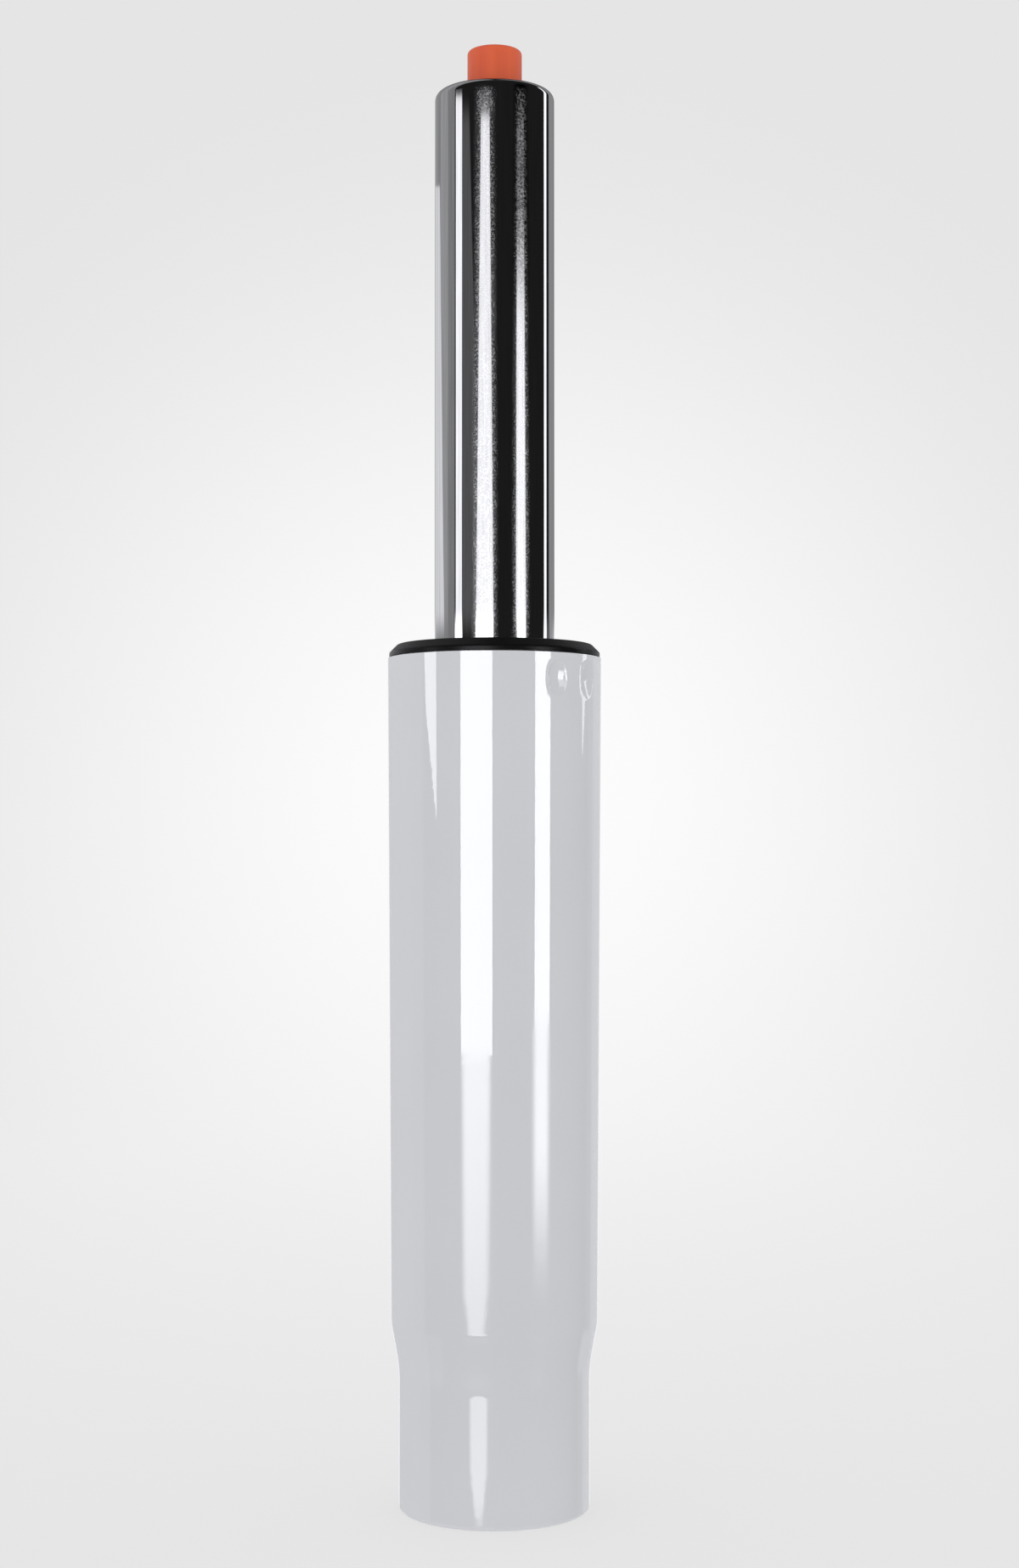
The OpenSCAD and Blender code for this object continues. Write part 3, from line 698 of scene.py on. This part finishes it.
class GASLIFT_OT_rod(bpy.types.Operator):
    """Finish the piston rod with its bumper, washer, clip and piston."""

    bl_idname = "gaslift.rod"
    bl_label = "Rod and Piston"

    def execute(self, context):
        dress(worked_metal("chromed_rod_steel", (0.70, 0.71, 0.73), rough=0.09, marks=0.0006),
              "piston_rod")
        dress(zinc_plate("zinc_washer_plate", (0.60, 0.61, 0.62)),
              "rod_washer", "piston_washers", "end_washer", "end_disc")
        dress(worked_metal("blued_clip_steel", (0.16, 0.165, 0.18), rough=0.34, marks=0.002,
                           around=1.0, tint=0.15),
              "retaining_clip")
        dress(soft_rubber("bumper_rubber_black", (0.022, 0.022, 0.022), rough=0.72),
              "rubber_bumper")
        dress(worked_metal("turned_piston_aluminium", (0.72, 0.73, 0.75), rough=0.28,
                           marks=0.004),
              "piston")
        return {"FINISHED"}


class GASLIFT_OT_seals(bpy.types.Operator):
    """Finish the seal pack, the rod guide and the inner cylinder."""

    bl_idname = "gaslift.seals"
    bl_label = "Seals and Inner Cylinder"

    def execute(self, context):
        dress(soft_rubber("nitrile_seal_rubber", (0.016, 0.016, 0.017), rough=0.5),
              "piston_seal", "rod_seal", "housing_seal", "cylinder_seal", "valve_seals")
        dress(sintered_bronze("sintered_guide_bronze", (0.55, 0.36, 0.18)), "rod_guide")
        dress(moulded_plastic("white_ring_plastic", (0.78, 0.77, 0.73), rough=0.4, grain=1200,
                              depth=0.003, drift=0.02),
              "seal_backup_ring")
        dress(moulded_plastic("ivory_seat_plastic", (0.66, 0.61, 0.50), rough=0.42, grain=1300,
                              depth=0.004, drift=0.03),
              "cylinder_seat")
        dress(worked_metal("drawn_inner_steel", (0.50, 0.51, 0.53), rough=0.24, marks=0.002),
              "inner_cylinder")
        return {"FINISHED"}


class GASLIFT_OT_valve(bpy.types.Operator):
    """Finish the valve's housing, spacer and seat."""

    bl_idname = "gaslift.valve"
    bl_label = "Valve"

    def execute(self, context):
        dress(worked_metal("turned_valve_aluminium", (0.60, 0.61, 0.63), rough=0.3,
                           marks=0.004),
              "valve_housing")
        dress(worked_metal("turned_valve_brass", (0.74, 0.57, 0.28), rough=0.24, marks=0.003),
              "valve_spacer", "valve_seat")
        return {"FINISHED"}


# Each studio panel as seen from the object, in degrees: name, level, lower elevation and the
# azimuths of its two sides there, upper elevation and the azimuths there, softness of the
# sides, softness of the lower and upper ends. Azimuth 0 is in front of the object and grows
# to its right. Panels that meet at an elevation share its softness, so that no seam shows.
PANELS = (
    ("back left wall, upper", 0.3, 5.2, (-181, -163), 20, (-181, -163), 4, (0.8, 4)),
    ("left wall, far part", 0.52, 5.2, (-163, -129), 91, (-163, -129), 4, (0.8, 1)),
    ("left wall, upper", 0.81, 5.2, (-129, -101), 91, (-129, -101), 4, (0.8, 1)),
    ("left wall, lit far part", 0.66, 5.2, (-163, -143), 14.78, (-163, -143), 3, (0.8, 0.06)),
    ("left wall, lit part", 1.03, 5.2, (-143, -113), 14.78, (-143, -132), 1.2, (0.8, 0.06)),
    ("left wall, near part", 0.56, 5.2, (-101, -82.5), 91, (-101, -82.5), 4, (0.8, 1)),
    ("left strip, upper", 3.0, 5.2, (-79.5, -65.3), 16.68, (-80, -65.3), 1, (0.8, 0.12)),
    ("grey reflector", 0.22, 5.2, (-65.3, -36), 10.6, (-65.3, -37), 3, (0.8, 0.6)),
    ("grey reflector, top", 0.22, 10.6, (-65.3, -37), 16.35, (-65.3, -49.5), 3, (0.6, 0.7)),
    ("middle strip, upper", 2.75, 5.2, (-35.5, -1.5), 16.3, (-26, -9.5), 1.5, (0.8, 0.3)),
    ("right strip, upper", 3.0, 5.2, (41.8, 63), 16.2, (44, 58), 2, (0.8, 1)),
    ("far right strip, upper", 3.1, 5.2, (111, 119.5), 40, (111, 119.5), 1, (0.8, 4)),
    ("right wall, near part", 0.58, 5.2, (129.5, 140), 91, (129.5, 140), 2, (0.8, 1)),
    ("right wall, upper", 0.5, 5.2, (140, 151), 91, (140, 151), 4, (0.8, 1)),
    ("right wall, far part", 0.36, 5.2, (151, 163), 91, (151, 163), 4, (0.8, 1)),
    ("back right wall, upper", 0.22, 5.2, (163, 181), 20, (163, 181), 4, (0.8, 4)),
    ("back left wall", 1.0, -16, (-181, -163), 5.2, (-181, -163), 4, (1, 0.8)),
    ("left wall", 0.6, -16, (-163, -99), 5.2, (-163, -99), 5, (1, 0.8)),
    ("left wall, near part low", 0.5, -16, (-99, -83), 5.2, (-99, -83), 4, (1, 0.8)),
    ("left strip", 6.4, 2.7, (-78, -64.5), 5.2, (-82, -64.5), 1.2, (0.4, 0.8)),
    ("left strip, point", 6.4, 0.3, (-65, -64.5), 2.7, (-78, -64.5), 1.2, (0.3, 0.4)),
    ("middle strip", 10.0, -5.1, (-36.2, -2), 5.2, (-36.2, -2), 1, (0.3, 0.8)),
    ("middle strip, glow", 3.2, -8.3, (-35, -4), -5.1, (-35, -4), 6, (6.5, 0.3)),
    ("middle strip, low part", 5.2, -10.3, (-33, -7), -5.1, (-34, -5), 9, (0.3, 0.3)),
    ("middle strip, taper", 5.2, -11.2, (-27, -12), -10.3, (-33, -7), 8, (0.3, 0.3)),
    ("middle strip, neck", 5.2, -13.3, (-28.5, -8.5), -11.2, (-29, -8), 6, (0.8, 0.3)),
    ("middle strip, neck end", 5.1, -14.35, (-22, -14), -13.3, (-28.5, -8.5), 6, (0.8, 0.8)),
    ("right strip", 10.0, -4.3, (44.3, 62.3), 5.2, (44.3, 62.3), 1.2, (1, 0.8)),
    ("right strip, glow", 9.0, -8.6, (44, 61), -4.3, (44, 61), 9, (4.2, 1)),
    ("far right strip", 3.4, 2.0, (109, 110.5), 5.2, (109.5, 121), 1.5, (0.5, 0.8)),
    ("right wall, near part low", 0.3, -16, (121, 133), 5.2, (121, 133), 4, (1, 0.8)),
    ("right wall", 0.7, -16, (133, 163), 5.2, (133, 163), 4, (1, 0.8)),
    ("back right wall", 1.0, -16, (163, 181), 5.2, (163, 181), 4, (1, 0.8)),
    ("left wall, foot", 0.6, -91, (-181, -84), -16, (-181, -84), 5, (1, 1)),
    ("right wall, foot", 0.6, -91, (121, 181), -16, (121, 181), 5, (1, 1)),
    ("left strip, foot", 0.4, -29, (-82, -65), -17, (-82, -65), 4, (2, 2)),
    ("middle strip, foot", 0.4, -29, (-34, -4), -17, (-34, -4), 4, (2, 2)),
    ("right strip, foot", 0.4, -29, (44, 62), -17, (44, 62), 4, (2, 2)),
    ("left floor strip", 1.5, -75, (-86, -62), -38, (-86, -62), 10, (8, 3)),
    ("middle floor strip", 1.5, -75, (-34, -4), -38, (-34, -4), 10, (8, 3)),
    ("right floor strip", 1.5, -75, (42, 66), -38, (42, 66), 10, (8, 3)),
)


def studio_world(level):
    """Make an even white studio whose panels show only in reflections."""
    world = bpy.data.worlds.new("soft_studio")
    world.use_nodes = True
    world.cycles.sampling_method = "NONE"
    nodes = Nodes(world.node_tree)
    direction = nodes.add("ShaderNodeTexCoord").outputs["Generated"]
    split = nodes.add("ShaderNodeSeparateXYZ", {0: direction}).outputs
    front = nodes.math("MULTIPLY", split[1], -1.0)
    azimuth = nodes.math("DEGREES", nodes.math("ARCTAN2", split[0], front))
    elevation = nodes.math("DEGREES", nodes.math("ARCSINE", split[2]))
    total = ROOM_LEVEL
    for name, bright, low, low_sides, high, high_sides, side_soft, end_soft in PANELS:
        left, right = low_sides
        if low_sides != high_sides:
            left = nodes.span(elevation, low, high, low_sides[0], high_sides[0])
            right = nodes.span(elevation, low, high, low_sides[1], high_sides[1])
        half = side_soft / 2
        inside = nodes.span(nodes.math("SUBTRACT", azimuth, left), -half, half, smooth=True)
        beyond = nodes.span(nodes.math("SUBTRACT", azimuth, right), -half, half, 1.0, 0.0,
                            smooth=True)
        above = nodes.span(elevation, low - end_soft[0] / 2, low + end_soft[0] / 2,
                           smooth=True)
        under = nodes.span(elevation, high - end_soft[1] / 2, high + end_soft[1] / 2, 1.0, 0.0,
                           smooth=True)
        mask = nodes.math("MULTIPLY", nodes.math("MULTIPLY", inside, beyond),
                          nodes.math("MULTIPLY", above, under))
        mask.node.label = name
        total = nodes.math("MULTIPLY_ADD", mask, bright * level, total)
    studio = nodes.add("ShaderNodeBackground", {"Strength": total})
    even = nodes.add("ShaderNodeBackground", {"Strength": 1.0})
    studio.inputs["Color"].default_value = STUDIO_TINT
    even.inputs["Color"].default_value = (1, 1, 1, 1)
    seen = nodes.add("ShaderNodeLightPath").outputs["Is Glossy Ray"]
    both = nodes.add("ShaderNodeMixShader", {0: seen, 1: even.outputs[0],
                                             2: studio.outputs[0]})
    nodes.add("ShaderNodeOutputWorld", {"Surface": both.outputs[0]})
    return world


def painted_light_pool(nodes, centre, edge):
    """Return a painted pool of light: a colour palest behind the object that falls off all round.
    """
    place = nodes.add("ShaderNodeNewGeometry").outputs["Position"]
    middle = (0.0, 1.2, 0.203)
    weights = (1.0, 0.33, 1.0)
    fall_off = 0.55
    offset = nodes.add("ShaderNodeVectorMath", {0: place, 1: middle}, operation="SUBTRACT")
    weighed = nodes.add("ShaderNodeVectorMath", {0: offset.outputs[0], 1: weights},
                        operation="MULTIPLY")
    far = nodes.add("ShaderNodeVectorMath", {0: weighed.outputs[0]}, operation="LENGTH")
    share = nodes.span(far.outputs["Value"], 0.0, fall_off, smooth=True)
    return nodes.blend(share, shade(centre, 1.0), shade(edge, 1.0))


class GASLIFT_OT_stage(bpy.types.Operator):
    """Make the camera, the pale floor, the round backdrop and the soft studio light."""

    bl_idname = "gaslift.stage"
    bl_label = "Stage and Camera"

    def execute(self, context):
        size = context.scene.gaslift.stage
        scene = context.scene

        camera_data = bpy.data.cameras.new("camera")
        camera_data.lens = size.lens
        camera_data.sensor_width = 36
        camera_data.clip_start = 0.01
        camera = bpy.data.objects.new("camera", camera_data)
        camera.location = size.camera_place
        camera.rotation_euler = (math.pi / 2 + size.camera_pitch, 0, 0)
        scene.collection.objects.link(camera)
        scene.camera = camera

        cove = 0.3
        floor_edge = size.wall_radius - cove
        dome_foot = 0.65
        top = 1.9
        rise = [(floor_edge + cove * math.sin(math.radians(a)),
                 cove - cove * math.cos(math.radians(a))) for a in range(0, 91, 5)]
        dome = [(size.wall_radius * math.cos(math.radians(a)),
                 dome_foot + (top - dome_foot) * math.sin(math.radians(a)))
                for a in range(0, 91, 5)]
        floor_rings = 6
        floor_rows = [(floor_edge * k / floor_rings, 0.0) for k in range(floor_rings + 1)]
        self.sheet("floor", floor_rows, False, size)
        self.sheet("backdrop", rise + dome, True, size)

        scene.world = studio_world(size.panel_level)
        scene.view_settings.view_transform = "Standard"
        return {"FINISHED"}

    def sheet(self, name, rows, seen_only, size):
        """Make a round sheet of the stage from its (r, z) rows, just under the object."""
        segments = STAGE_SEGMENTS
        corners = []
        for r, z in rows:
            for k in range(segments):
                angle = 2 * math.pi * k / segments
                corners.append((r * math.cos(angle), r * math.sin(angle), z - FLOOR_GAP))
        faces = []
        for i in range(len(rows) - 1):
            for k in range(segments):
                after = (k + 1) % segments
                faces.append((i * segments + k, i * segments + after,
                              (i + 1) * segments + after, (i + 1) * segments + k))
        mesh = bpy.data.meshes.new(name)
        mesh.from_pydata(corners, [], faces)
        mesh.validate()
        mesh.shade_smooth()
        sheet = bpy.data.objects.new(name, mesh)
        bpy.context.scene.collection.objects.link(sheet)
        material, nodes = new_finish(name + "_paper")
        # The floor and the backdrop both take the painted pool of light as their colour.
        colour = painted_light_pool(nodes, size.centre_colour, size.edge_colour)
        glow = nodes.add("ShaderNodeEmission", {"Color": colour})
        if seen_only:
            nodes.add("ShaderNodeOutputMaterial", {"Surface": glow.outputs[0]})
            sheet.visible_diffuse = False
            sheet.visible_shadow = False
            sheet.visible_transmission = False
        else:
            paper = nodes.add("ShaderNodeBsdfDiffuse", {"Color": colour})
            seen = nodes.add("ShaderNodeLightPath").outputs["Is Camera Ray"]
            share = nodes.math("MULTIPLY", seen, FLOOR_GLOW)
            both = nodes.add("ShaderNodeMixShader", {0: share, 1: paper.outputs[0],
                                                     2: glow.outputs[0]})
            nodes.add("ShaderNodeOutputMaterial", {"Surface": both.outputs[0]})
            sheet.visible_diffuse = False
        sheet.visible_glossy = False
        mesh.materials.append(material)


class GASLIFT_PT_panel(bpy.types.Panel):
    """Lists the pieces of the gas lift and their sizes."""

    bl_idname = "GASLIFT_PT_panel"
    bl_label = "Gas Lift"
    bl_space_type = "VIEW_3D"
    bl_region_type = "UI"
    bl_category = "Gas Lift"

    def draw(self, context):
        settings = context.scene.gaslift
        for group, operators in (
                (settings.stand, ("gaslift.outer_tube",)),
                (settings.column, ("gaslift.column_tube",)),
                (settings.trim, ("gaslift.collar", "gaslift.button")),
                (None, ("gaslift.bearing", "gaslift.rod", "gaslift.seals", "gaslift.valve")),
                (settings.stage, ("gaslift.stage",))):
            box = self.layout.box()
            for name in operators:
                box.operator(name)
            if group:
                for key in group.__annotations__:
                    box.prop(group, key)


CLASSES = (
    StandSizes,
    ColumnSizes,
    TrimColours,
    StageSizes,
    GasLiftSettings,
    GASLIFT_OT_outer_tube,
    GASLIFT_OT_column_tube,
    GASLIFT_OT_collar,
    GASLIFT_OT_button,
    GASLIFT_OT_bearing,
    GASLIFT_OT_rod,
    GASLIFT_OT_seals,
    GASLIFT_OT_valve,
    GASLIFT_OT_stage,
    GASLIFT_PT_panel,
)


def register():
    """Register the classes and hang the settings on the scene."""
    for cls in CLASSES:
        bpy.utils.register_class(cls)
    bpy.types.Scene.gaslift = PointerProperty(type=GasLiftSettings)


def unregister():
    """Take the settings and the classes away again."""
    del bpy.types.Scene.gaslift
    for cls in reversed(CLASSES):
        bpy.utils.unregister_class(cls)


def main():
    """Make every piece in order."""
    register()
    bpy.ops.gaslift.outer_tube()
    bpy.ops.gaslift.column_tube()
    bpy.ops.gaslift.collar()
    bpy.ops.gaslift.button()
    bpy.ops.gaslift.bearing()
    bpy.ops.gaslift.rod()
    bpy.ops.gaslift.seals()
    bpy.ops.gaslift.valve()
    bpy.ops.gaslift.stage()


if __name__ == "__main__":
    main()
